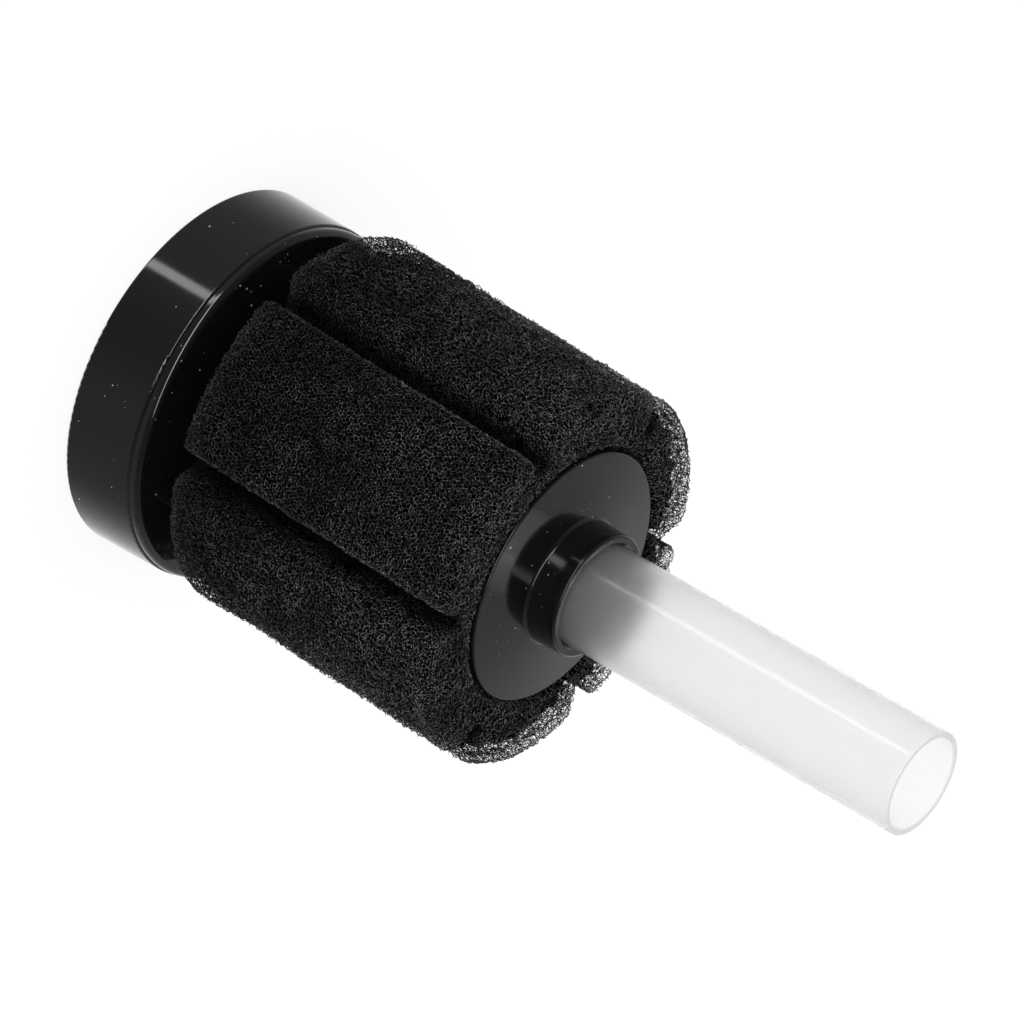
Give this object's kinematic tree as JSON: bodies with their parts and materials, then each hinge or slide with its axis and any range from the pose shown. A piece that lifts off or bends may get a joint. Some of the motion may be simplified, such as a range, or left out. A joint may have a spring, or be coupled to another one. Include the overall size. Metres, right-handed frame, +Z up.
{
  "type": "aquarium sponge filter",
  "caption": "Air-driven sponge filter: fluted foam sleeve on a slotted core between round end flanges, over a round weighted base, with a clear riser tube in the top collar.",
  "frame": {"origin": "centre of the base's underside, where the filter stands", "axes": "+Z up the riser tube; the groove of the sponge lies on +X, and a lobe faces -Y"},
  "size_m": [0.0732, 0.0738, 0.1667],
  "materials": {
    "base_plastic": "gloss",
    "flange_plastic": "gloss",
    "core_plastic": "satin",
    "nozzle_plastic": "satin",
    "ballast": "matte",
    "foam": "matte",
    "clear_plastic": "gloss"
  },
  "bodies": {
    "base": {"base_cup": "base_plastic", "base_lid": "base_plastic", "ballast": "ballast", "air_nozzle": "nozzle_plastic"},
    "cartridge": {"lower_flange": "flange_plastic", "strainer_core": "core_plastic"},
    "sponge_body": {"sponge": "foam"},
    "cap": {"upper_flange": "flange_plastic"},
    "riser": {"riser_tube": "clear_plastic"}
  },
  "joints": [
    {"name": "cartridge_lift", "type": "slide", "parent": "base", "child": "cartridge", "axis": [0, 0, 1], "range_m": [0, 0.03]},
    {"name": "cap_lift", "type": "slide", "parent": "cartridge", "child": "cap", "axis": [0, 0, 1], "range_m": [0, 0.13]},
    {"name": "sponge_lift", "type": "slide", "parent": "cartridge", "child": "sponge_body", "axis": [0, 0, 1], "range_m": [0, 0.065]},
    {"name": "tube_pull", "type": "slide", "parent": "cap", "child": "riser", "axis": [0, 0, 1], "range_m": [0, 0.03]}
  ],
  "couplings": [
    {"joint": "sponge_lift", "follows": "cap_lift", "ratio": 0.5}
  ]
}
